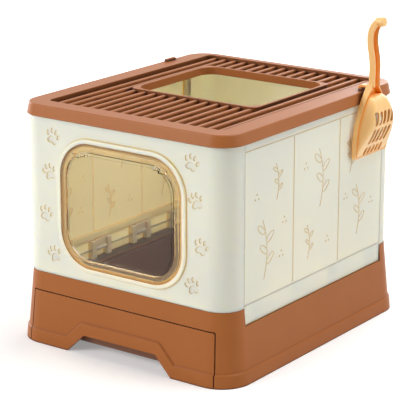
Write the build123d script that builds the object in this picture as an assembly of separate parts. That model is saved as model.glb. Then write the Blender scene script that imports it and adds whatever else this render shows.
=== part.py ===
"""Foldable litter box: a flared base with a pull-out tray, four cream walls of which
the two sides fold inwards, a clear flap door, a slatted lid and a hanging scoop.

Millimetres, +Z up, front towards -Y. The origin is the centre of the footprint on the floor.
"""
import os

from build123d import *

# Walls of the cabin
box_width = 390.0
box_depth = 466.0
corner_radius = 36.0
wall = 3.0
end_wall_top = 368.7
side_wall_drop = 3.3
seam_margin = 5.0
seam_gap = 0.6

# Base
base_height = 114.0
base_wall = 2.8
base_lip = 0.3
lean_flare = 11.2
plinth_height = 19.5
plinth_proud = 2.3
plinth_bevel = 4.0
tongue_depth = 12.0
tongue_overlap = 10.0
deck_thickness = 2.3
deck_side_cover = 1.5
deck_front_cover = 4.5
deck_back_cover = 3.0
runner_reach = 12.0
runner_thickness = 3.0
runner_margin = 23.0
run_clearance = 0.3

# Drawer
drawer_top = 83.2
drawer_margin = 23.0
drawer_flare = 4.0
drawer_corner = 3.0
front_gap = 1.5
tray_drop = 1.0
tray_bottom = 12.0
tray_wall = 2.5
tray_side_gap = 0.5
tray_rim_lip = 3.0
tray_corner = 16.0
tray_floor_radius = 6.0
tray_front_setback = 4.5
tray_back_setback = 11.0

# Drawer handle: a finger gap under an arch of the raised plinth
grip_height = 30.0
grip_top_width = 138.0
grip_foot_width = 200.0
grip_corner = 5.0
arch_rise = 18.0
arch_side = 5.0
arch_round = 12.0

# Screws that hold the drawer front to the tray
screw_margin = 30.0
screw_low_z = 34.0
screw_high_z = 64.0
screw_shank = 3.5
screw_head = 7.0
screw_head_height = 2.0
screw_length = 9.0
boss_diameter = 9.0
screw_clearance = 0.1

# Side wall hinges
hinge_inset = 7.5
hinge_rise = 15.0
hinge_rod = 3.0
hinge_margin = 33.0
hinge_count = 4
knuckle_radius = 4.0
knuckle_width = 26.0
knuckle_gap = 0.5
lug_width = 11.0
lug_gap = 1.0
rod_clearance = 0.05
fold_rise = 16.0
fold_gap = 0.4
lap_thickness = 2.7
lap_clearance = 0.3
lap_border = 11.0
lap_reach = 6.5
rail_tab_width = 20.0
rail_tab_depth = 6.0
rail_tab_margin = 42.0
rail_tab_inset = 0.4

# Plank grooves on the side walls
plank_count = 3
groove_width = 3.0
groove_depth = 0.8
groove_foot_margin = 3.0
groove_top_margin = 16.4

# Marks pressed into the walls: paws beside the doorway, leafy sprigs and seeds on the planks
paw_size = 28.0
paw_depth = 1.0
paw_lean = 17
paw_place_shares = ((0.667, 0.86), (0.708, 0.64), (0.754, 0.375), (0.674, 0.13))
toe_lean = 60
toe_shares = ((-0.37, 0.12), (-0.14, 0.33), (0.14, 0.33), (0.37, 0.12))
toe_size_shares = (0.095, 0.155)
pad_shares = ((0, -0.14, 0.26, 0.19), (-0.16, -0.25, 0.16, 0.14), (0.16, -0.25, 0.16, 0.14))
sprig_line = 1.6
sprig_place_shares = (
    (-0.74, 0.12, 0.4), (-0.57, 0.62, 0.24), (0.05, 0.45, 0.4), (-0.12, 0.12, 0.24), (0.62, 0.14, 0.36),
    (0.5, 0.6, 0.24),
)
stem_shares = ((0, 0), (0.09, 0.45), (-0.04, 1))
leaf_shares = ((0.07, 0.24, 1), (0.1, 0.42, -1), (0.07, 0.6, 1), (0.03, 0.76, -1))
leaf_size_shares = (0.13, 0.058)
leaf_lean = 52
seed_radius = 1.7
seed_spread = 5.0
seed_count = 3
seed_place_shares = (
    (-0.5, 0.24), (-0.84, 0.68), (0.17, 0.2), (-0.16, 0.76), (0.84, 0.34), (0.8, 0.74), (0.44, 0.44),
    (-0.46, 0.46),
)

# Door in the front wall
window_width = 228.0
window_top_margin = 35.9
window_foot_margin = 22.8
window_radius = 56.0
frame_width = 12.0
frame_depth = 5.4
frame_round = 1.5
frame_step = 1.8
frame_step_width = 4.0
frame_seat = 8.0
frame_clearance = 0.3
collar_width = 6.5
collar_height = 3.5
collar_round = 2.0
flap_gap = 1.2
flap_thickness = 3.0
flap_crown = 0.8
flap_crown_inset = 4.0
pivot_drop = 5.5
pivot_pin = 2.6
pivot_boss = 5.2
pin_reach_in = 8.0
pin_reach_out = 7.0
pin_press = 0.01
boss_length = 12.0
notch_gap = 0.5
notch_drop = 4.5

# Lid
lid_rise = 11.3
lid_overhang = 0.5
lid_skirt = 17.7
lid_flare = 3.8
lid_wall = 2.5
lid_deck = 3.0
lid_round = 2.4
rim_side_width = 32.0
rim_front_width = 29.5
rim_back_width = 14.5
recess_corner = 9.0
grid_drop = 3.5
grid_height = 10.1
bar_count = 16
bar_margin = 13.2
bar_width = 7.5
bar_round = 2.6
cross_rib = 3.0
cross_rib_front_inset = 74.0
cross_rib_back_inset = 33.0
exit_width = 231.0
exit_front_inset = 151.5
exit_back_inset = 70.0
exit_corner = 26.0
exit_frame = 4.5
exit_frame_corner = 12.0
exit_frame_rise = 2.1
rest_gap = 0.3
rest_rib = 3.0
rest_rib_pitch = 80.0
rest_rib_count = 4
peg_length = 24.0
peg_width = 6.0
peg_height = 4.5
peg_round = 1.5
peg_inset = 6.0

# Scoop
scoop_setback = 92.0
scoop_gap = 0.9
scoop_skin = 2.2
bowl_length = 96.0
bowl_half_width = 49.0
bowl_depth = 29.0
bowl_side_slope = 7.0
rim_depth = 7.5
rim_rise = 18.0
rim_tip_depth = 4.6
rim_proud = 1.2
neck_length = 18.0
handle_width = 18.0
handle_depth = 11.0
handle_step = 3.0
handle_height = 99.0
handle_reach = 18.5
handle_round = 1.6
handle_end_length = 13.0
handle_end_radius = 7.5
hook_width = 9.0
hook_thickness = 4.0
hook_drop = 6.0
hook_clearance = 0.6
hook_headroom = 3.2
slot_count = 5
slot_width = 7.7
slot_pitch = 11.2
web_slot_width = 4.0
web_slot_length = 10.0
bowl_shares = (
    (1.0, 0.45, 0.4), (0.93, 0.55, 0.8), (0.8, 0.68, 0.99), (0.63, 0.82, 1.0), (0.4, 0.95, 0.76),
    (0.16, 1.0, 0.37), (0.0, 0.86, 0.11)
)
bowl_corner_share = 0.38
rim_taper_share = 0.62
slot_row_shares = ((0.105, 0.14), (0.36, 0.265), (0.66, 0.235))
handle_shares = (
    (0.0, -0.05), (0.0, 0.15), (0.0, 0.34), (-0.25, 0.64), (-0.14, 0.87), (0.28, 0.985), (0.78, 1.0)
)

# One overrun for every cut that has to break through
overrun = 5.0

# Sizes that follow from those above
half_width = box_width / 2
half_depth = box_depth / 2
side_wall_length = box_depth - 2 * (corner_radius + seam_margin)
side_wall_top = end_wall_top - side_wall_drop
half_seam = side_wall_length / 2
deck_foot = drawer_top + front_gap
side_edge_height = deck_foot + deck_thickness
drawer_top_width = box_width - 2 * drawer_margin
drawer_foot_width = drawer_top_width + 2 * drawer_flare
tray_top = drawer_top - tray_drop
tray_rim_width = drawer_top_width - 2 * tray_side_gap
tray_front_y = tray_front_setback - half_depth
tray_back_y = half_depth - tray_back_setback
deck_hole_width = tray_rim_width - 2 * deck_side_cover
deck_hole_front_y = tray_front_y + deck_front_cover
deck_hole_back_y = tray_back_y - deck_back_cover
screw_x = drawer_top_width / 2 - screw_margin
hinge_x = half_width - hinge_inset
hinge_height = side_edge_height + hinge_rise
hinge_pitch = (side_wall_length - 2 * hinge_margin) / (hinge_count - 1)
fold_line = hinge_height + fold_rise
rail_tab_pitch = half_seam - rail_tab_margin
groove_top = side_wall_top - groove_top_margin
window_height = end_wall_top - base_height - window_top_margin - window_foot_margin
window_centre = base_height + window_foot_margin + window_height / 2
pivot_height = window_centre + window_height / 2 - frame_width - flap_gap - pivot_drop
pivot_y = -half_depth - frame_depth / 2
lid_top = end_wall_top + lid_rise
lid_width = box_width + 2 * lid_overhang
lid_depth = box_depth + 2 * lid_overhang
recess_width = lid_width - 2 * rim_side_width
recess_front_y = rim_front_width - lid_depth / 2
recess_back_y = lid_depth / 2 - rim_back_width
grid_top = lid_top - grid_drop
grid_foot = grid_top - grid_height
bar_pitch = (recess_width - 2 * bar_margin) / (bar_count - 1)
exit_front_y = recess_front_y + exit_front_inset
exit_back_y = recess_back_y - exit_back_inset
scoop_y = half_depth - scoop_setback
rim_x = lid_width / 2 + lid_flare + scoop_gap
neck_top = lid_top + peg_height + rest_gap + hook_thickness + hook_headroom
heel_top = neck_top - neck_length
bowl_tip = heel_top - bowl_length


def block(x_span, y_span, z_span):
    """Box between two values on each axis."""
    size = [high - low for low, high in (x_span, y_span, z_span)]
    middle = [(low + high) / 2 for low, high in (x_span, y_span, z_span)]
    return Pos(*middle) * Box(*size)


def plate(width, depth, radius, z_span, centre_y=0):
    """Upright prism on a rounded rectangle."""
    low, high = z_span
    return Pos(0, centre_y, low) * extrude(RectangleRounded(width, depth, radius), high - low)


def flared(width, depth, radius, low, high):
    """Solid between two grown copies of a rounded rectangle: low and high are (z, growth)."""
    faces = []
    for z, growth in (low, high):
        outline = RectangleRounded(width + 2 * growth, depth + 2 * growth, radius + growth)
        faces.append(Pos(0, 0, z) * outline)
    return loft(faces, ruled=True)


def front_prism(outline, y_span):
    """Prism along Y on an outline drawn in X and Z."""
    near, far = y_span
    return Pos(0, far, 0) * extrude(Plane.XZ * outline, far - near)


def rod(radius, start, length, axis):
    """Round bar from a point along an axis."""
    return extrude(Plane(origin=start, z_dir=axis) * Circle(radius), length)


def mirrored(solid):
    """Copy on the left side of the box."""
    return mirror(solid, about=Plane.YZ)


def lean_at(z):
    """How far the base's leaning face stands outside the walls at a height."""
    return lean_flare + (base_lip - lean_flare) * z / base_height


def base_body(inset, z_span):
    """The base's leaning body, drawn in by an inset."""
    low, high = z_span
    return flared(
        box_width, box_depth, corner_radius, (low, lean_at(low) - inset), (high, lean_at(high) - inset)
    )


def plinth_body():
    """The raised band round the foot of the base, with its bevelled top."""
    top = plinth_height + plinth_bevel
    edge = lean_at(plinth_height) + plinth_proud
    bevel = flared(box_width, box_depth, corner_radius, (plinth_height, edge), (top, edge - plinth_bevel))
    return base_body(-plinth_proud, (0, plinth_height)) + bevel


def drawer_outline(growth):
    """Front view of the drawer front, grown by the gap round it."""
    foot = drawer_foot_width / 2 + growth
    top = drawer_top_width / 2 + growth
    high = drawer_top + growth
    corners = Polyline((-foot, -overrun), (foot, -overrun), (top, high), (-top, high), close=True)
    outline = make_face(corners)
    return fillet(outline.vertices().sort_by(Axis.Y)[-2:], drawer_corner)


def build_base_frame():
    """Brown base: leaning shell, plinth, inner deck, tray runners and the drawer's opening."""
    hollow = base_body(base_wall, (-overrun, base_height + overrun))
    shell = base_body(0, (0, base_height)) + plinth_body() - hollow
    deck = base_body(base_wall / 2, (deck_foot, side_edge_height))
    hole_middle = (deck_hole_front_y + deck_hole_back_y) / 2
    hole_depth = deck_hole_back_y - deck_hole_front_y
    hole_z = (deck_foot - overrun, side_edge_height + overrun)
    deck -= plate(deck_hole_width, hole_depth, tray_corner, hole_z, hole_middle)
    runner_top = tray_bottom - run_clearance
    runners = base_body(base_wall / 2, (runner_top - runner_thickness, runner_top))
    gangway = tray_rim_width / 2 - tray_rim_lip - runner_reach
    runner_half = half_depth - runner_margin
    runners &= block((-box_width, box_width), (-runner_half, runner_half), (0, base_height))
    runners -= block((-gangway, gangway), (-box_depth, box_depth), (-overrun, base_height))
    opening = front_prism(drawer_outline(front_gap), (-box_depth, deck_hole_front_y))
    frame = shell + deck + runners - opening
    for side in (-1, 1):
        notch_x = sorted((side * (hinge_x - knuckle_radius), side * box_width))
        frame -= block(notch_x, (-half_seam, half_seam), (side_edge_height, base_height + overrun))
        for tab in rail_tabs(side, lap_clearance, (deck_foot - rail_tab_depth, side_edge_height + overrun)):
            frame -= tab
    return frame


def rail_tabs(side, growth, z_span):
    """Tabs under a hinge rail, or the grown slots that take them in the deck."""
    inner = half_width - wall + rail_tab_inset - growth
    outer = half_width - rail_tab_inset + growth
    x_span = sorted((side * inner, side * outer))
    reach = rail_tab_width / 2 + growth
    middles = [index * rail_tab_pitch for index in (-1, 0, 1)]
    return [block(x_span, (middle - reach, middle + reach), z_span) for middle in middles]


def hinge_stations():
    """Places of the hinges along a side wall."""
    return [(index - (hinge_count - 1) / 2) * hinge_pitch for index in range(hinge_count)]


def build_hinge_rail():
    """Cream strip on the deck that carries the right wall's hinge lugs."""
    skin_half = half_seam - seam_gap / 2
    inner = half_width - wall
    rail = block((inner, half_width), (-skin_half, skin_half), (side_edge_height, fold_line - fold_gap))
    lug_offset = (knuckle_width + lug_width) / 2 + knuckle_gap
    for station in hinge_stations():
        for middle in (station - lug_offset, station + lug_offset):
            y_span = (middle - lug_width / 2, middle + lug_width / 2)
            rail += block((hinge_x - knuckle_radius, inner), y_span, (side_edge_height, fold_line - lug_gap))
    for tab in rail_tabs(1, 0, (side_edge_height - rail_tab_depth, side_edge_height + wall)):
        rail += tab
    bore = rod(hinge_rod / 2 + rod_clearance, (hinge_x, -box_depth, hinge_height), 2 * box_depth, (0, 1, 0))
    return rail - bore


def build_hinge_rod():
    """Steel rod through the right wall's hinge knuckles."""
    reach = hinge_pitch * (hinge_count - 1) / 2 + knuckle_width / 2 + lug_width + knuckle_gap
    return rod(hinge_rod / 2, (hinge_x, -reach, hinge_height), 2 * reach, (0, 1, 0))


def plank_grooves():
    """Upright grooves that part the planks, and the border groove above them, on both faces."""
    grooves = []
    plank = side_wall_length / plank_count
    for face_x in (half_width, half_width - wall):
        x_span = (face_x - groove_depth, face_x + groove_depth)
        for index in range(1, plank_count):
            middle = index * plank - half_seam
            y_span = (middle - groove_width / 2, middle + groove_width / 2)
            grooves.append(block(x_span, y_span, (fold_line + groove_foot_margin, groove_top)))
        grooves.append(block(x_span, (-half_seam, half_seam), (groove_top, groove_top + groove_width / 2)))
    return grooves


def sprig_outline(height):
    """Curved stem with outlined leaves on both sides, its foot at the origin."""
    stem = Spline(*[(height * across, height * up) for across, up in stem_shares])
    sprig = trace(stem, line_width=sprig_line)
    length, breadth = [height * share for share in leaf_size_shares]
    leaf = Ellipse(length, breadth) - Ellipse(length - sprig_line, breadth - sprig_line)
    for across, up, side in leaf_shares:
        turn = 90 - side * leaf_lean
        sprig += Pos(height * across, height * up) * Rot(0, 0, turn) * Pos(length, 0) * leaf
    return sprig


def plank_marks():
    """Sprigs and seed clusters on the planks, drawn in Y and Z."""
    rise = groove_top - fold_line
    marks = Sketch()
    for along, up, tall in sprig_place_shares:
        marks += Pos(half_seam * along, fold_line + rise * up) * sprig_outline(rise * tall)
    for along, up in seed_place_shares:
        middle = Pos(half_seam * along, fold_line + rise * up)
        for place in PolarLocations(seed_spread, seed_count, start_angle=90):
            marks += middle * place * Circle(seed_radius)
    return marks


def build_side_wall():
    """Right wall: plank panel, lapped edges behind its neighbours, and hinge knuckles."""
    panel_half = half_seam - seam_gap / 2
    inner = half_width - wall
    panel = block((inner, half_width), (-panel_half, panel_half), (fold_line, side_wall_top))
    for groove in plank_grooves():
        panel -= groove
    marks = extrude(Plane.YZ * plank_marks(), groove_depth, both=True)
    for face_x in (half_width, inner):
        panel -= Pos(face_x, 0, 0) * marks
    lap_x = (inner - lap_clearance - lap_thickness, inner - lap_clearance)
    pad_x = (lap_x[0], inner)
    panel += block(pad_x, (-panel_half, panel_half), (fold_line, fold_line + lap_border))
    lap_base = fold_line + lap_border
    lap_head = side_wall_top - lap_border
    for side in (-1, 1):
        edge = side * panel_half
        pad_y = sorted((edge, edge - side * lap_border))
        panel += block(pad_x, pad_y, (lap_base, lap_head))
        lap_y = sorted((edge - side * lap_border, side * (half_seam + lap_reach)))
        panel += block(lap_x, lap_y, (lap_base, lap_head))
    for station in hinge_stations():
        y_span = (station - knuckle_width / 2, station + knuckle_width / 2)
        panel += block((hinge_x - hinge_rod / 2, lap_x[1]), y_span, (hinge_height, fold_line))
        panel += rod(knuckle_radius, (hinge_x, y_span[0], hinge_height), knuckle_width, (0, 1, 0))
    bore = rod(hinge_rod / 2 + rod_clearance, (hinge_x, -box_depth, hinge_height), 2 * box_depth, (0, 1, 0))
    return panel - bore


def end_wall():
    """Front half of a wall ring: flat panel, rounded corners and a tongue inside the base."""
    inner_width = box_width - 2 * wall
    inner_depth = box_depth - 2 * wall
    inner_radius = corner_radius - wall
    shell = plate(box_width, box_depth, corner_radius, (base_height, end_wall_top))
    shell -= plate(inner_width, inner_depth, inner_radius, (base_height - overrun, end_wall_top + overrun))
    tongue_z = (base_height - tongue_depth, base_height + tongue_overlap)
    tongue = plate(inner_width, inner_depth, inner_radius, tongue_z)
    tongue -= plate(
        inner_width - 2 * wall, inner_depth - 2 * wall, inner_radius - wall,
        (tongue_z[0] - overrun, tongue_z[1] + overrun),
    )
    front_edge = -half_seam - seam_gap / 2
    keep = block((-box_width, box_width), (-box_depth, front_edge), (0, lid_top))
    flat_half = half_width - corner_radius
    tongue_keep = block((-flat_half, flat_half), (-box_depth, 0), (0, lid_top))
    return (shell & keep) + (tongue & tongue_keep)


def window_plate(growth, y_span):
    """Prism on the door's rounded square, grown on every side."""
    outline = RectangleRounded(
        window_width + 2 * growth, window_height + 2 * growth, window_radius + growth
    )
    return front_prism(Pos(0, window_centre) * outline, y_span)


def paw_outline():
    """Pad and four toes of a paw mark."""
    paw = Sketch()
    for across, up, half_across, half_up in pad_shares:
        paw += Pos(paw_size * across, paw_size * up) * Ellipse(paw_size * half_across, paw_size * half_up)
    toe = Ellipse(*[paw_size * share for share in toe_size_shares])
    for across, up in toe_shares:
        paw += Pos(paw_size * across, paw_size * up) * Rot(0, 0, -toe_lean * across) * toe
    return paw


def paw_marks():
    """Paw marks on both sides of the doorway, leaning to and fro, drawn in X and Z."""
    paw = paw_outline()
    marks = Sketch()
    for index, (across, up) in enumerate(paw_place_shares):
        lean = paw_lean * (-1) ** index
        z = base_height + (end_wall_top - base_height) * up
        for side in (-1, 1):
            marks += Pos(side * half_width * across, z) * Rot(0, 0, -lean) * paw
    return marks


def build_front_wall():
    """Cream front wall with a raised collar round its doorway and paw marks beside it."""
    face = -half_depth
    collar_face = face - collar_height
    collar = window_plate(frame_clearance + collar_width, (collar_face, face))
    collar = fillet(collar.edges().group_by(Axis.Y)[0], collar_round)
    panel = end_wall() + collar
    panel -= window_plate(frame_clearance, (collar_face - overrun, face))
    panel -= front_prism(paw_marks(), (face - overrun, face + paw_depth))
    return panel - window_plate(frame_seat - frame_width, (face - overrun, face + wall + overrun))


def build_rear_wall():
    """Cream rear wall, plain."""
    return mirror(end_wall(), about=Plane.XZ)


def window_half_at(growth, z):
    """Half width of the grown window outline at a height on its upper corners."""
    radius = window_radius + growth
    rise = z - (window_centre + window_height / 2 - window_radius)
    return window_width / 2 - window_radius + (radius ** 2 - rise ** 2) ** 0.5


def notch_start():
    """Where the flap's upper corners are cut back, beside its pivot bosses."""
    return window_half_at(-frame_width - flap_gap, pivot_height + pivot_boss / 2) - notch_gap


def pivot_pins(radius):
    """Pair of short pins on the flap's pivot line."""
    inner = notch_start() - pin_reach_in
    length = window_half_at(-frame_width, pivot_height) + pin_reach_out - inner
    right = rod(radius, (inner, pivot_y, pivot_height), length, (1, 0, 0))
    return right + mirrored(right)


def build_door_frame():
    """Clear amber ring in the collar, seated on the wall, with a raised inner band and blind pin bores."""
    face = -half_depth
    front = face - frame_depth
    opening = window_plate(-frame_width, (front - overrun, face + overrun))
    ring = window_plate(-frame_step_width, (front, face)) - opening
    ring = fillet(ring.edges().group_by(Axis.Y)[0], frame_round)
    ring += window_plate(0, (front + frame_step, face)) - opening
    return ring - pivot_pins(pivot_pin / 2 + pin_press)


def build_door_flap():
    """Clear amber flap with a crowned face and two pivot bosses."""
    growth = -frame_width - flap_gap
    y_span = (pivot_y - flap_thickness / 2, pivot_y + flap_thickness / 2)
    flap = window_plate(growth, y_span)
    crown = window_plate(growth - flap_crown_inset, (y_span[0] - flap_crown, y_span[0]))
    flap += crown
    outer = notch_start()
    notch = block((outer, half_width), (-box_depth, 0), (pivot_height - notch_drop, lid_top))
    flap -= notch + mirrored(notch)
    boss = rod(pivot_boss / 2, (outer - boss_length, pivot_y, pivot_height), boss_length, (1, 0, 0))
    flap += boss + mirrored(boss)
    return flap - pivot_pins(pivot_pin / 2 + rod_clearance)


def build_lid():
    """Brown lid: skirted rim, recessed slats, framed exit hole, rest ribs and two scoop pegs."""
    foot = lid_top - lid_skirt
    corner = corner_radius + lid_overhang
    outer = flared(lid_width, lid_depth, corner, (foot, lid_flare), (lid_top, 0))
    outer = fillet(outer.edges().group_by(Axis.Z)[-1], lid_round)
    slope = lid_flare / lid_skirt
    hollow = flared(
        lid_width - 2 * lid_wall, lid_depth - 2 * lid_wall, corner - lid_wall,
        (foot - overrun, lid_flare + slope * overrun), (lid_top - lid_deck, slope * lid_deck),
    )
    lid = outer - hollow
    recess_depth = recess_back_y - recess_front_y
    recess_middle = (recess_back_y + recess_front_y) / 2
    lid += plate(
        recess_width + 2 * lid_wall, recess_depth + 2 * lid_wall, recess_corner + lid_wall,
        (grid_foot, lid_top - lid_deck), recess_middle,
    )
    lid -= plate(recess_width, recess_depth, recess_corner, (0, lid_top + overrun), recess_middle)
    return lid + lid_slats() + lid_rest_ribs() + lid_pegs()


def lid_slats():
    """Round-topped slats along Y, their cross ribs and the frame of the exit hole."""
    reach = lid_wall / 2
    y_span = (recess_front_y - reach, recess_back_y + reach)
    section = Rectangle(bar_width, grid_top - grid_foot)
    section = fillet(section.vertices().group_by(Axis.Y)[-1], bar_round)
    bar = front_prism(Pos(0, (grid_top + grid_foot) / 2) * section, y_span)
    slats = Part()
    for index in range(bar_count):
        slats += Pos((index - (bar_count - 1) / 2) * bar_pitch, 0, 0) * bar
    for rib_y in (recess_front_y + cross_rib_front_inset, recess_back_y - cross_rib_back_inset):
        half_rib = recess_width / 2 + reach
        slats += block((-half_rib, half_rib), (rib_y - cross_rib / 2, rib_y + cross_rib / 2),
                       (grid_foot, grid_foot + cross_rib))
    exit_depth = exit_back_y - exit_front_y
    exit_middle = (exit_back_y + exit_front_y) / 2
    frame = plate(
        exit_width + 2 * exit_frame, exit_depth + 2 * exit_frame, exit_frame_corner,
        (grid_foot, grid_top + exit_frame_rise), exit_middle,
    )
    hole = plate(exit_width, exit_depth, exit_corner, (0, lid_top + overrun), exit_middle)
    return slats + frame - hole


def lid_rest_ribs():
    """Ribs under the rim that stand on the front and rear walls."""
    ribs = Part()
    z_span = (end_wall_top + rest_gap, lid_top - lid_deck / 2)
    rim_front = lid_depth / 2 - lid_wall / 2
    for index in range(rest_rib_count):
        middle = (index - (rest_rib_count - 1) / 2) * rest_rib_pitch
        x_span = (middle - rest_rib / 2, middle + rest_rib / 2)
        ribs += block(x_span, (-rim_front, recess_front_y - lid_wall / 2), z_span)
        ribs += block(x_span, (recess_back_y + lid_wall / 2, rim_front), z_span)
    return ribs


def lid_pegs():
    """Raised peg on each side of the rim, over which the scoop's hook hangs."""
    middle = lid_width / 2 - peg_inset
    z_span = (lid_top - lid_deck / 2, lid_top + peg_height)
    y_span = (scoop_y - peg_length / 2, scoop_y + peg_length / 2)
    peg = block((middle - peg_width / 2, middle + peg_width / 2), y_span, z_span)
    peg = fillet(peg.edges().group_by(Axis.Z)[-1], peg_round)
    return peg + mirrored(peg)


def build_drawer_tray():
    """Brown litter tray with a rim lip and four screw holes in its front."""
    depth = tray_back_y - tray_front_y
    middle = (tray_back_y + tray_front_y) / 2
    width = tray_rim_width - 2 * tray_rim_lip
    body = plate(width, depth, tray_corner, (tray_bottom, tray_top), middle)
    body = fillet(body.edges().group_by(Axis.Z)[0], tray_floor_radius)
    lip_z = (tray_top - tray_wall, tray_top)
    lip = plate(tray_rim_width, depth, tray_corner, lip_z, middle)
    inside = plate(
        width - 2 * tray_wall, depth - 2 * tray_wall, tray_corner - tray_wall,
        (tray_bottom + tray_wall, tray_top + overrun), middle,
    )
    inside = fillet(inside.edges().group_by(Axis.Z)[0], tray_floor_radius - tray_wall)
    tray = body + lip - inside
    bore_length = tray_wall + 2 * overrun
    for x, z in screw_places():
        start = (x, tray_front_y - overrun, z)
        tray -= rod(screw_shank / 2 + screw_clearance, start, bore_length, (0, 1, 0))
    return tray


def screw_places():
    """Places of the four drawer screws, in X and Z."""
    return [(x, z) for x in (-screw_x, screw_x) for z in (screw_low_z, screw_high_z)]


def trapezoid(foot, top, foot_z, top_z):
    """Symmetric trapezoid drawn in X and Z."""
    return Polyline((-foot, foot_z), (foot, foot_z), (top, top_z), (-top, top_z), close=True)


def arch_outline(growth):
    """Front view of the raised arch over the finger gap, grown along its bevel."""
    slope = (grip_foot_width - grip_top_width) / 2 / grip_height
    low = plinth_height / 2
    high = grip_height + arch_rise
    top = grip_top_width / 2 + arch_side
    shift = growth * (1 + slope ** 2) ** 0.5
    foot = top + slope * (high - low) + shift
    outline = make_face(trapezoid(foot, top - slope * growth + shift, low, high + growth))
    return fillet(outline.vertices().group_by(Axis.Y)[-1], arch_round + growth)


def drawer_arch():
    """Raised arch on the leaning front, with bevelled edges."""
    slope = (lean_flare - base_lip) / base_height
    leaning = Plane(origin=(0, -half_depth - lean_flare, 0), x_dir=(1, 0, 0), z_dir=(0, -1, slope))
    face = leaning.offset(plinth_proud) * arch_outline(0)
    root = leaning.offset(plinth_proud - plinth_bevel) * arch_outline(plinth_bevel)
    return loft([face, root], ruled=True)


def build_drawer_front():
    """Brown drawer front in line with the base, with its arch, finger gap and screw bosses."""
    y_span = (-box_depth, 0)
    body = base_body(0, (0, drawer_top)) + plinth_body() + drawer_arch()
    body &= front_prism(drawer_outline(0), y_span)
    body -= base_body(base_wall, (-overrun, drawer_top + overrun))
    grip_slope = (grip_foot_width - grip_top_width) / 2 / grip_height
    grip = make_face(trapezoid(
        grip_foot_width / 2 + grip_slope * overrun, grip_top_width / 2, -overrun, grip_height
    ))
    grip = fillet(grip.vertices().group_by(Axis.Y)[-1], grip_corner)
    body -= front_prism(grip, y_span)
    for x, z in screw_places():
        start_y = -half_depth - lean_at(z) + base_wall / 2
        body += rod(boss_diameter / 2, (x, start_y, z), tray_front_y - start_y, (0, 1, 0))
        bore_depth = screw_length - tray_wall
        body -= rod(
            screw_shank / 2 + screw_clearance / 2, (x, tray_front_y - bore_depth, z), bore_depth, (0, 1, 0)
        )
    return body


def build_drawer_screws():
    """Four pan-head screws from inside the tray into the drawer front."""
    screws = []
    head_y = tray_front_y + tray_wall
    for x, z in screw_places():
        shank = rod(screw_shank / 2, (x, head_y - screw_length, z), screw_length, (0, 1, 0))
        head = rod(screw_head / 2, (x, head_y, z), screw_head_height, (0, 1, 0))
        screws.append(shank + head)
    return Compound(screws)


def head_outline(inset):
    """The scoop's head seen from beside the box, drawn in by an inset."""
    flank = [(handle_width / 2 - inset, neck_top)]
    for up, across, _ in bowl_shares:
        flank.append((bowl_half_width * across - inset, bowl_tip + bowl_length * up))
    tip = flank.pop()[0]
    foot = bowl_tip + inset
    edges = [Line((-flank[0][0], neck_top), flank[0]), Line((-tip, foot), (tip, foot))]
    for side in (-1, 1):
        places = [(side * across, up) for across, up in flank]
        edges.append(Spline(*places))
        edges.append(Spline(places[-1], (side * tip, foot), tangents=((0, -1), (-side, 0))))
    beside = Plane(origin=(rim_x, scoop_y, 0), x_dir=(0, 1, 0), z_dir=(1, 0, 0))
    return beside * make_face(edges)


def bowl_core(inset, mouth):
    """Filled shape of the bowl on level sections, drawn in by an inset, starting at the mouth."""
    sections = []
    for up, across, deep in bowl_shares:
        half = bowl_half_width * across - rim_proud - inset
        depth = bowl_depth * deep - inset
        far_half = half - bowl_side_slope * deep
        corners = ((mouth, -half), (depth, -far_half), (depth, far_half), (mouth, half))
        outline = make_face(Polyline(*corners, close=True))
        outline = fillet(outline.vertices().group_by(Axis.X)[-1], depth * bowl_corner_share)
        z = bowl_tip + inset + (bowl_length - 2 * inset) * up
        sections.append(Pos(rim_x, scoop_y, z) * outline)
    return loft(sections)


def scoop_bowl():
    """Slotted bowl, open towards the wall."""
    bowl = bowl_core(0, 0) - bowl_core(scoop_skin, -overrun)
    for middle_share, length_share in slot_row_shares:
        middle_z = bowl_tip + bowl_length * middle_share
        for column in range(slot_count):
            middle_y = scoop_y + (column - (slot_count - 1) / 2) * slot_pitch
            beside = Plane(origin=(rim_x, middle_y, middle_z), z_dir=(1, 0, 0), x_dir=(0, 0, 1))
            slot = beside * SlotOverall(bowl_length * length_share, slot_width)
            bowl -= extrude(slot, bowl_depth + overrun)
    return bowl


def scoop_rim():
    """Rim strip along the head's edge, shallow on the bowl and as deep as the handle at the neck."""
    ring = extrude(head_outline(0), handle_depth) - extrude(head_outline(scoop_skin), handle_depth)
    taper = bowl_tip + bowl_length * rim_taper_share
    near = ((0, neck_top), (0, bowl_tip))
    foot = ((rim_tip_depth, bowl_tip), (rim_depth, bowl_tip + rim_rise))
    far = ((rim_depth, taper), (handle_depth, neck_top))
    profile = make_face(Polyline(*near, *foot, *far, close=True))
    across = Plane(origin=(rim_x, scoop_y, 0), x_dir=(1, 0, 0), z_dir=(0, -1, 0))
    return ring & extrude(across * profile, bowl_half_width + overrun, both=True)


def scoop_neck():
    """Web between the flanges of the neck, with a slot."""
    web = extrude(head_outline(0), scoop_skin)
    web &= block((0, box_width), (0, box_depth), (heel_top - 2 * scoop_skin, neck_top))
    slot = Plane(origin=(rim_x, scoop_y, heel_top + web_slot_length / 2), z_dir=(1, 0, 0), x_dir=(0, 0, 1))
    return web - extrude(slot * SlotOverall(web_slot_length, web_slot_width), scoop_skin)


def handle_bar(points, half):
    """Bar of the handle's depth along a line drawn in X and Z."""
    strip = Plane.XZ * trace(Spline(*points), line_width=handle_depth)
    return Pos(0, scoop_y, 0) * extrude(strip, half, both=True)


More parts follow.
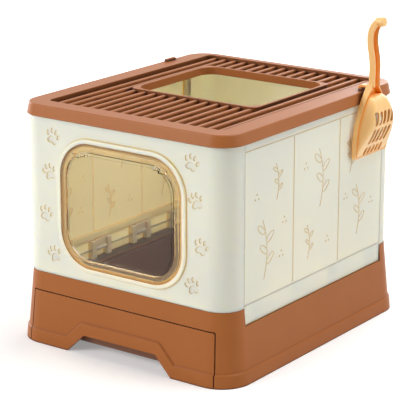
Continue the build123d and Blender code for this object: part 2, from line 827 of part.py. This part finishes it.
def build_scoop():
    """Orange scoop: bowl, neck, channel handle with a curled solid end, and hook."""
    middle = rim_x + handle_step + handle_depth / 2
    points = [(middle + handle_reach * out, neck_top + handle_height * up) for out, up in handle_shares]
    channel_points = [(x + scoop_skin, z - scoop_skin) for x, z in points[:-1]]
    bar = handle_bar(points[:-1], handle_width / 2)
    bar = fillet(bar.edges(), handle_round)
    channel = handle_bar(channel_points, handle_width / 2 - scoop_skin)
    end_x, end_z = points[-1]
    end_way = Vector(end_x - points[-2][0], 0, end_z - points[-2][1]).normalized()
    end_start = Vector(end_x, scoop_y, end_z) - end_way * handle_end_length
    knob = rod(handle_end_radius, end_start, handle_end_length + handle_round, end_way)
    knob = fillet(knob.edges(), handle_round)
    return scoop_bowl() + scoop_rim() + scoop_neck() + bar + scoop_hook() - channel + knob


def scoop_hook():
    """Hook behind the neck that drops over the lid's peg."""
    peg_middle = lid_width / 2 - peg_inset
    arm_z = lid_top + peg_height + rest_gap + hook_thickness / 2
    drop_x = peg_middle - peg_width / 2 - hook_clearance - hook_thickness / 2
    path = FilletPolyline(
        (rim_x + scoop_skin / 2, arm_z), (drop_x, arm_z), (drop_x, arm_z - hook_drop), radius=hook_thickness
    )
    outline = Plane.XZ * trace(path, line_width=hook_thickness)
    return Pos(0, scoop_y, 0) * extrude(outline, hook_width / 2, both=True)


def build_parts():
    """Every piece by the name of its node."""
    rail = build_hinge_rail()
    hinge = build_hinge_rod()
    side = build_side_wall()
    return {
        "base_frame": build_base_frame(),
        "right_hinge_rail": rail,
        "left_hinge_rail": mirrored(rail),
        "right_hinge_rod": hinge,
        "left_hinge_rod": mirrored(hinge),
        "right_wall": side,
        "left_wall": mirrored(side),
        "front_wall": build_front_wall(),
        "rear_wall": build_rear_wall(),
        "door_frame": build_door_frame(),
        "door_flap": build_door_flap(),
        "door_hinge_pins": pivot_pins(pivot_pin / 2),
        "lid": build_lid(),
        "drawer_tray": build_drawer_tray(),
        "drawer_front": build_drawer_front(),
        "drawer_screws": build_drawer_screws(),
        "scoop": build_scoop(),
    }


os.makedirs("parts", exist_ok=True)
for node, solid in build_parts().items():
    export_step(solid, f"parts/{node}.step")
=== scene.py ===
"""Looks of the foldable litter box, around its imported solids. Metres, +Z up, front towards -Y."""
import math

import bpy
from mathutils import Matrix, Vector

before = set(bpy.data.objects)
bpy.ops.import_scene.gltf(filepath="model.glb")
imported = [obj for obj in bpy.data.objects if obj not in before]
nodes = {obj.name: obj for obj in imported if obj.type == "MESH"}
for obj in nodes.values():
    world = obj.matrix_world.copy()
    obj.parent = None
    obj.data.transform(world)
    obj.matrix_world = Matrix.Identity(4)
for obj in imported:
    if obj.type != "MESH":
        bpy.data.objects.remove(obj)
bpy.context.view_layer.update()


# Base frame: a leaning shell on a raised foot band, with a deck inside that the litter tray slides under.
# One injection moulding of brown polypropylene, from a mould with a fine spark-eroded grain.
# Long edges catch a pale line of light, and the deck's top carries painted shade, coloured dark as a ledge
# behind the door.

flow_mm = 55.0
sink_mm, sink_depth_mm = 90.0, 1.2
# The real mould grain is about 0.1 mm, too fine to show, so it is drawn coarser.
grain_mm, grain_depth_mm = 1.4, 0.2
# Ambient-occlusion levels between which the painted shade in corners fades in.
no_shade_ao, full_shade_ao = 0.97, 0.62
polish_spread = 0.05
polypropylene_ior = 1.49


def linear(hex_colour):
    """sRGB hex value as linear RGBA."""
    values = [int(hex_colour[at:at + 2], 16) / 255 for at in (1, 3, 5)]
    return [v / 12.92 if v <= 0.04045 else ((v + 0.055) / 1.055) ** 2.4 for v in values] + [1.0]


def add_node(tree, kind, settings, links):
    """One node with its settings, fed by the sockets in links."""
    node = tree.nodes.new(kind)
    for name, value in settings.items():
        if isinstance(name, int) or name in node.inputs:
            node.inputs[name].default_value = value
        else:
            setattr(node, name, value)
    for name, source in links.items():
        tree.links.new(source, node.inputs[name])
    return node


def new_material(name):
    """Fresh material with its node tree and main shader."""
    material = bpy.data.materials.new(name)
    material.use_nodes = True
    return material, material.node_tree, material.node_tree.nodes["Principled BSDF"]


def set_sockets(shader, values):
    """Constants straight on a shader's own sockets."""
    for socket, value in values.items():
        shader.inputs[socket].default_value = value


def moulded_plastic(name, body, flow, painted_shade_colour, roughness, edge_mm, shade_reach_mm):
    """Opaque moulding: grain and sink as bump, flow marks as colour, and painted shade, a deeper colour in
    tight corners, seams and recesses.
    """
    material, tree, shader = new_material(name)
    place = add_node(tree, "ShaderNodeTexCoord", {}, {}).outputs["Object"]
    marks = add_node(tree, "ShaderNodeTexNoise", {"Scale": 1000 / flow_mm, "Detail": 3.0}, {"Vector": place})
    tone = add_node(
        tree, "ShaderNodeMix", {"data_type": "RGBA", 6: linear(body), 7: linear(flow)},
        {0: marks.outputs["Fac"]},
    )
    # Painted shade: where ambient occlusion finds a tight corner, seam or recess, the colour turns to the
    # shade colour.
    corner = add_node(tree, "ShaderNodeAmbientOcclusion", {"Distance": shade_reach_mm / 1000, "samples": 12}, {})
    depth = add_node(
        tree, "ShaderNodeMapRange",
        {"From Min": full_shade_ao, "From Max": no_shade_ao, "To Min": 1.0, "To Max": 0.0},
        {"Value": corner.outputs["AO"]},
    )
    colour = add_node(
        tree, "ShaderNodeMix", {"data_type": "RGBA", 7: linear(painted_shade_colour)},
        {0: depth.outputs["Result"], 6: tone.outputs[2]},
    )
    tree.links.new(colour.outputs[2], shader.inputs["Base Color"])
    grain = add_node(tree, "ShaderNodeTexNoise", {"Scale": 1000 / grain_mm, "Detail": 2.0}, {"Vector": place})
    polish = add_node(
        tree, "ShaderNodeMapRange", {"To Min": roughness - polish_spread, "To Max": roughness + polish_spread},
        {"Value": grain.outputs["Fac"]},
    )
    tree.links.new(polish.outputs["Result"], shader.inputs["Roughness"])
    edge = add_node(tree, "ShaderNodeBevel", {"Radius": edge_mm / 1000, "samples": 6}, {})
    sink = add_node(tree, "ShaderNodeTexNoise", {"Scale": 1000 / sink_mm, "Detail": 1.0}, {"Vector": place})
    waves = add_node(
        tree, "ShaderNodeBump", {"Strength": 0.25, "Distance": sink_depth_mm / 1000},
        {"Height": sink.outputs["Fac"], "Normal": edge.outputs["Normal"]},
    )
    bump = add_node(
        tree, "ShaderNodeBump", {"Strength": 0.18, "Distance": grain_depth_mm / 1000},
        {"Height": grain.outputs["Fac"], "Normal": waves.outputs["Normal"]},
    )
    tree.links.new(bump.outputs["Normal"], shader.inputs["Normal"])
    set_sockets(shader, {"IOR": polypropylene_ior})
    return material


def dress(material, *names):
    """Give CAD nodes their material."""
    for name in names:
        nodes[name].data.materials.clear()
        nodes[name].data.materials.append(material)


# Brown polypropylene, moulded: a warm satin face with little sheen, and painted shade that turns seams nearly
# black.
brown = moulded_plastic("moulded polypropylene brown", "#A96430", "#A25E2C", "#4C2611", 0.42, 1.6, 3.5)
set_sockets(brown.node_tree.nodes["Principled BSDF"], {"Specular IOR Level": 0.19})

# The same moulding with painted shade on the deck: its upward faces are coloured dark, in one tone with the
# tray seen through the door.
shaded_deck_spans = (("X", 0.0, 0.1925), ("Y", 0.0, 0.2305), ("Z", 0.087, 0.001))
upward = 0.5
base_brown = brown.copy()
base_brown.name = "moulded polypropylene brown with painted deck shade"
base_tree = base_brown.node_tree
base_place = add_node(base_tree, "ShaderNodeTexCoord", {}, {}).outputs["Object"]
base_axes = add_node(base_tree, "ShaderNodeSeparateXYZ", {}, {0: base_place})
base_turn = add_node(base_tree, "ShaderNodeNewGeometry", {}, {}).outputs["True Normal"]
base_up = add_node(base_tree, "ShaderNodeSeparateXYZ", {}, {0: base_turn}).outputs["Z"]
deck_shade_mask = add_node(
    base_tree, "ShaderNodeMath", {"operation": "GREATER_THAN", 1: upward}, {0: base_up}
).outputs[0]
for axis, middle, reach in shaded_deck_spans:
    inside = add_node(
        base_tree, "ShaderNodeMath", {"operation": "COMPARE", 1: middle, 2: reach},
        {0: base_axes.outputs[axis]},
    )
    deck_shade_mask = add_node(
        base_tree, "ShaderNodeMath", {"operation": "MULTIPLY"}, {0: deck_shade_mask, 1: inside.outputs[0]}
    ).outputs[0]
base_shader = base_tree.nodes["Principled BSDF"]
base_tone = base_shader.inputs["Base Color"].links[0].from_socket
# Painted shade: the masked deck faces turn dark brown.
base_colour = add_node(
    base_tree, "ShaderNodeMix", {"data_type": "RGBA", 7: linear("#4A2F20")}, {0: deck_shade_mask, 6: base_tone}
)
base_tree.links.new(base_colour.outputs[2], base_shader.inputs["Base Color"])
dress(base_brown, "base_frame")


# Drawer: a deep litter tray, screwed from inside to a front that continues the base's leaning face.
# Both are polypropylene mouldings, the tray dark brown and the front in the base's own brown.

# Dark brown polypropylene, moulded: polished a little more than the base, so the floor has a soft shine, and
# painted shade turns its corners and seams near black.
tray_brown = moulded_plastic(
    "moulded polypropylene dark brown", "#764629", "#704226", "#3A2012", 0.36, 1.2, 4.0
)
dress(tray_brown, "drawer_tray")
dress(brown, "drawer_front")


# Hinge rods and drawer screws: the rods are straight drawn wire, pushed through the hinge knuckles,
# and the screws are zinc-plated pan heads driven from inside the tray.

# Drawn steel: bright grey, with fine lines along the wire that stretch its highlights.
# They run 0.4 mm apart and about 17 mm long here; the real ones are finer and would not show.
steel_lines_per_metre = (2500, 60, 2500)
steel, steel_tree, steel_shader = new_material("drawn steel")
steel_place = add_node(steel_tree, "ShaderNodeTexCoord", {}, {}).outputs["Object"]
steel_lines = add_node(
    steel_tree, "ShaderNodeMapping", {"Scale": steel_lines_per_metre}, {"Vector": steel_place}
)
steel_grain = add_node(steel_tree, "ShaderNodeTexNoise", {"Scale": 1.0}, {"Vector": steel_lines.outputs[0]})
steel_polish = add_node(
    steel_tree, "ShaderNodeMapRange", {"To Min": 0.22, "To Max": 0.38}, {"Value": steel_grain.outputs["Fac"]}
)
steel_tree.links.new(steel_polish.outputs["Result"], steel_shader.inputs["Roughness"])
set_sockets(steel_shader, {"Base Color": linear("#C4C4C2"), "Metallic": 1.0})
dress(steel, "left_hinge_rod", "right_hinge_rod", "drawer_screws")


# Walls and hinge rails: thin cream panels with grooves, seams and pressed marks, moulded in polypropylene.
# The rails snap into the base, the end walls stand in it on a tongue, and the side walls fold on the rods.

# Cream polypropylene, moulded: milky, so lamplight glows through the walls into the box,
# and painted shade turns grooves, seams and pressed marks warm tan.
cream = moulded_plastic("moulded polypropylene cream", "#FEF2D8", "#FCEFD3", "#EBC982", 0.46, 0.8, 2.6)
set_sockets(cream.node_tree.nodes["Principled BSDF"], {
    "Subsurface Weight": 1.0, "Subsurface Radius": (0.96, 0.82, 0.57), "Subsurface Scale": 0.0115,
})
dress(cream, "left_hinge_rail", "right_hinge_rail", "left_wall", "right_wall", "front_wall", "rear_wall")


# Door: a flap hung on two pins in a ring, which is pressed into the front wall's collar.
# All are polystyrene mouldings from polished moulds, tinted amber.

# Clear amber polystyrene: glossy and thin, with slow ripples from the melt and a warm cast on what is behind.
ripple_mm, ripple_depth_mm = 40.0, 0.5
amber, amber_tree, amber_shader = new_material("clear polystyrene amber")
# The IOR is below polystyrene's 1.59, because the real flap shows little reflection.
set_sockets(amber_shader, {"Base Color": linear("#F8EEDA"), "Transmission Weight": 1.0, "IOR": 1.32})
amber_place = add_node(amber_tree, "ShaderNodeTexCoord", {}, {}).outputs["Object"]
amber_flow = add_node(amber_tree, "ShaderNodeTexNoise", {"Scale": 1000 / ripple_mm}, {"Vector": amber_place})
amber_polish = add_node(
    amber_tree, "ShaderNodeMapRange", {"To Min": 0.015, "To Max": 0.05}, {"Value": amber_flow.outputs["Fac"]}
)
amber_tree.links.new(amber_polish.outputs["Result"], amber_shader.inputs["Roughness"])
amber_bump = add_node(
    amber_tree, "ShaderNodeBump", {"Strength": 0.05, "Distance": ripple_depth_mm / 1000},
    {"Height": amber_flow.outputs["Fac"]},
)
amber_tree.links.new(amber_bump.outputs["Normal"], amber_shader.inputs["Normal"])
# Lamplight passes straight through, so the door throws only a tinted shadow.
amber_path = add_node(amber_tree, "ShaderNodeLightPath", {}, {})
amber_clear = add_node(amber_tree, "ShaderNodeBsdfTransparent", {"Color": linear("#F4E4C4")}, {})
amber_mix = add_node(
    amber_tree, "ShaderNodeMixShader", {},
    {"Fac": amber_path.outputs["Is Shadow Ray"], 1: amber_shader.outputs[0], 2: amber_clear.outputs[0]},
)
amber_tree.links.new(amber_mix.outputs[0], amber_tree.nodes["Material Output"].inputs["Surface"])
dress(amber, "door_flap", "door_hinge_pins")

# Milky amber polystyrene: the ring's thicker walls scatter some light and look paler and less clear.
ring_amber = amber.copy()
ring_amber.name = "milky polystyrene amber"
set_sockets(ring_amber.node_tree.nodes["Principled BSDF"], {
    "Base Color": linear("#F2DDB6"), "Transmission Weight": 0.9,
})
dress(ring_amber, "door_frame")


# Lid: a broad flat rim round a recess of round-topped slats, with a framed exit hole and two pegs.
# One polypropylene moulding that drops over the walls and lifts off.

# Polished brown polypropylene: more sheen than the base, and painted shade that darkens the slat gaps.
lid_brown = moulded_plastic("polished polypropylene brown", "#A96430", "#A25E2C", "#50270F", 0.4, 1.6, 14.5)
set_sockets(lid_brown.node_tree.nodes["Principled BSDF"], {"Specular IOR Level": 0.3})
dress(lid_brown, "lid")


# Scoop: a slotted bowl on a channel handle with a curled end, hung by its hook on the lid's peg.
# One moulding of ABS, glossier than the box.

# Orange ABS, moulded: bright and smooth, with painted shade in deeper orange in the slots and the handle's
# channel.
orange = moulded_plastic("moulded ABS orange", "#FFCE88", "#FDC980", "#FFA636", 0.3, 1.2, 9.0)
dress(orange, "scoop")


# Floor, light and camera: the box stands on a sweep of white paper under five soft boxes.
# The left and back ones make the walls glow on the inside, and the paper fades to plain white.

floor_reach = 30.0
floor_drop = 0.0002
fade_start, fade_end = 0.4, 1.6
lift_near, lift_far = 0.27, 0.75
sky_light, sky_white = 0.2, 1.0


def seen_straight(tree):
    """1 for what the camera sees, also in gloss and through the clear door, and 0 for soft light."""
    path = add_node(tree, "ShaderNodeLightPath", {}, {})
    eye = add_node(
        tree, "ShaderNodeMath", {"operation": "MAXIMUM"},
        {0: path.outputs["Is Camera Ray"], 1: path.outputs["Is Transmission Ray"]},
    )
    return add_node(
        tree, "ShaderNodeMath", {"operation": "MAXIMUM"}, {0: eye.outputs[0], 1: path.outputs["Is Glossy Ray"]}
    ).outputs[0]


floor_corners = [(x * floor_reach, y * floor_reach, 0) for x, y in ((-1, -1), (1, -1), (1, 1), (-1, 1))]
floor_mesh = bpy.data.meshes.new("floor")
floor_mesh.from_pydata(floor_corners, [], [(0, 1, 2, 3)])
floor = bpy.data.objects.new("floor", floor_mesh)
bpy.context.scene.collection.objects.link(floor)
floor.location.z = -floor_drop

# Matt white paper: it keeps the box's soft shadow and turns plain white away from it.
paper, paper_tree, paper_shader = new_material("white paper sweep")
set_sockets(paper_shader, {
    "Base Color": (0.86, 0.86, 0.86, 1), "Roughness": 0.9, "Emission Color": (1, 1, 1, 1),
})
paper_place = add_node(paper_tree, "ShaderNodeTexCoord", {}, {}).outputs["Object"]
paper_reach = add_node(paper_tree, "ShaderNodeVectorMath", {"operation": "LENGTH"}, {0: paper_place})
paper_fade = add_node(
    paper_tree, "ShaderNodeMapRange",
    {"From Min": fade_start, "From Max": fade_end, "To Min": lift_near, "To Max": lift_far},
    {"Value": paper_reach.outputs["Value"]},
)
paper_lift = add_node(
    paper_tree, "ShaderNodeMath", {"operation": "MULTIPLY"},
    {0: seen_straight(paper_tree), 1: paper_fade.outputs["Result"]},
)
paper_tree.links.new(paper_lift.outputs[0], paper_shader.inputs["Emission Strength"])
floor_mesh.materials.append(paper)

world = bpy.data.worlds.new("studio")
bpy.context.scene.world = world
world.use_nodes = True
world_tree = world.node_tree
sky = world_tree.nodes["Background"]
set_sockets(sky, {"Color": (1, 1, 1, 1)})
sky_level = add_node(
    world_tree, "ShaderNodeMapRange", {"To Min": sky_light, "To Max": sky_white},
    {"Value": seen_straight(world_tree)},
)
world_tree.links.new(sky_level.outputs["Result"], sky.inputs["Strength"])


def soft_box(name, place, aim_height, size, watts):
    """Square area lamp aimed at a height over the box's middle."""
    lamp = bpy.data.lights.new(name, "AREA")
    lamp.shape = "SQUARE"
    lamp.size = size
    lamp.energy = watts
    holder = bpy.data.objects.new(name, lamp)
    bpy.context.scene.collection.objects.link(holder)
    holder.location = place
    way = Vector((0, 0, aim_height)) - Vector(place)
    holder.rotation_euler = way.to_track_quat("-Z", "Y").to_euler()


soft_box("front soft box", (-2.1, -3.7, 2.2), 0.2, 2.2, 128)
soft_box("side soft box", (2.9, 0.9, 1.5), 0.2, 1.6, 20)
soft_box("top soft box", (0.9, 0.6, 2.6), 0.3, 1.8, 44)
soft_box("left soft box", (-2.9, 0.4, 1.0), 0.2, 1.6, 33)
soft_box("back soft box", (-0.65, 3.05, 1.1), 0.2, 1.6, 38)

azimuth, elevation, distance = math.radians(35.855), math.radians(16.473), 2.8852
view_height, view_right, view_up = 0.19, -0.00733, -0.00199
level = math.cos(elevation)
right = Vector((math.cos(azimuth), math.sin(azimuth), 0))
back = Vector((math.sin(azimuth) * level, -math.cos(azimuth) * level, math.sin(elevation)))
up = back.cross(right)
camera_place = Vector((0, 0, view_height)) + right * view_right + up * view_up + back * distance
camera_data = bpy.data.cameras.new("camera")
camera_data.lens = 156.8
camera_data.sensor_width = 36.0
camera = bpy.data.objects.new("camera", camera_data)
bpy.context.scene.collection.objects.link(camera)
camera.matrix_world = Matrix.Translation(camera_place) @ Matrix((right, up, back)).transposed().to_4x4()
bpy.context.scene.camera = camera
bpy.context.scene.view_settings.view_transform = "Standard"
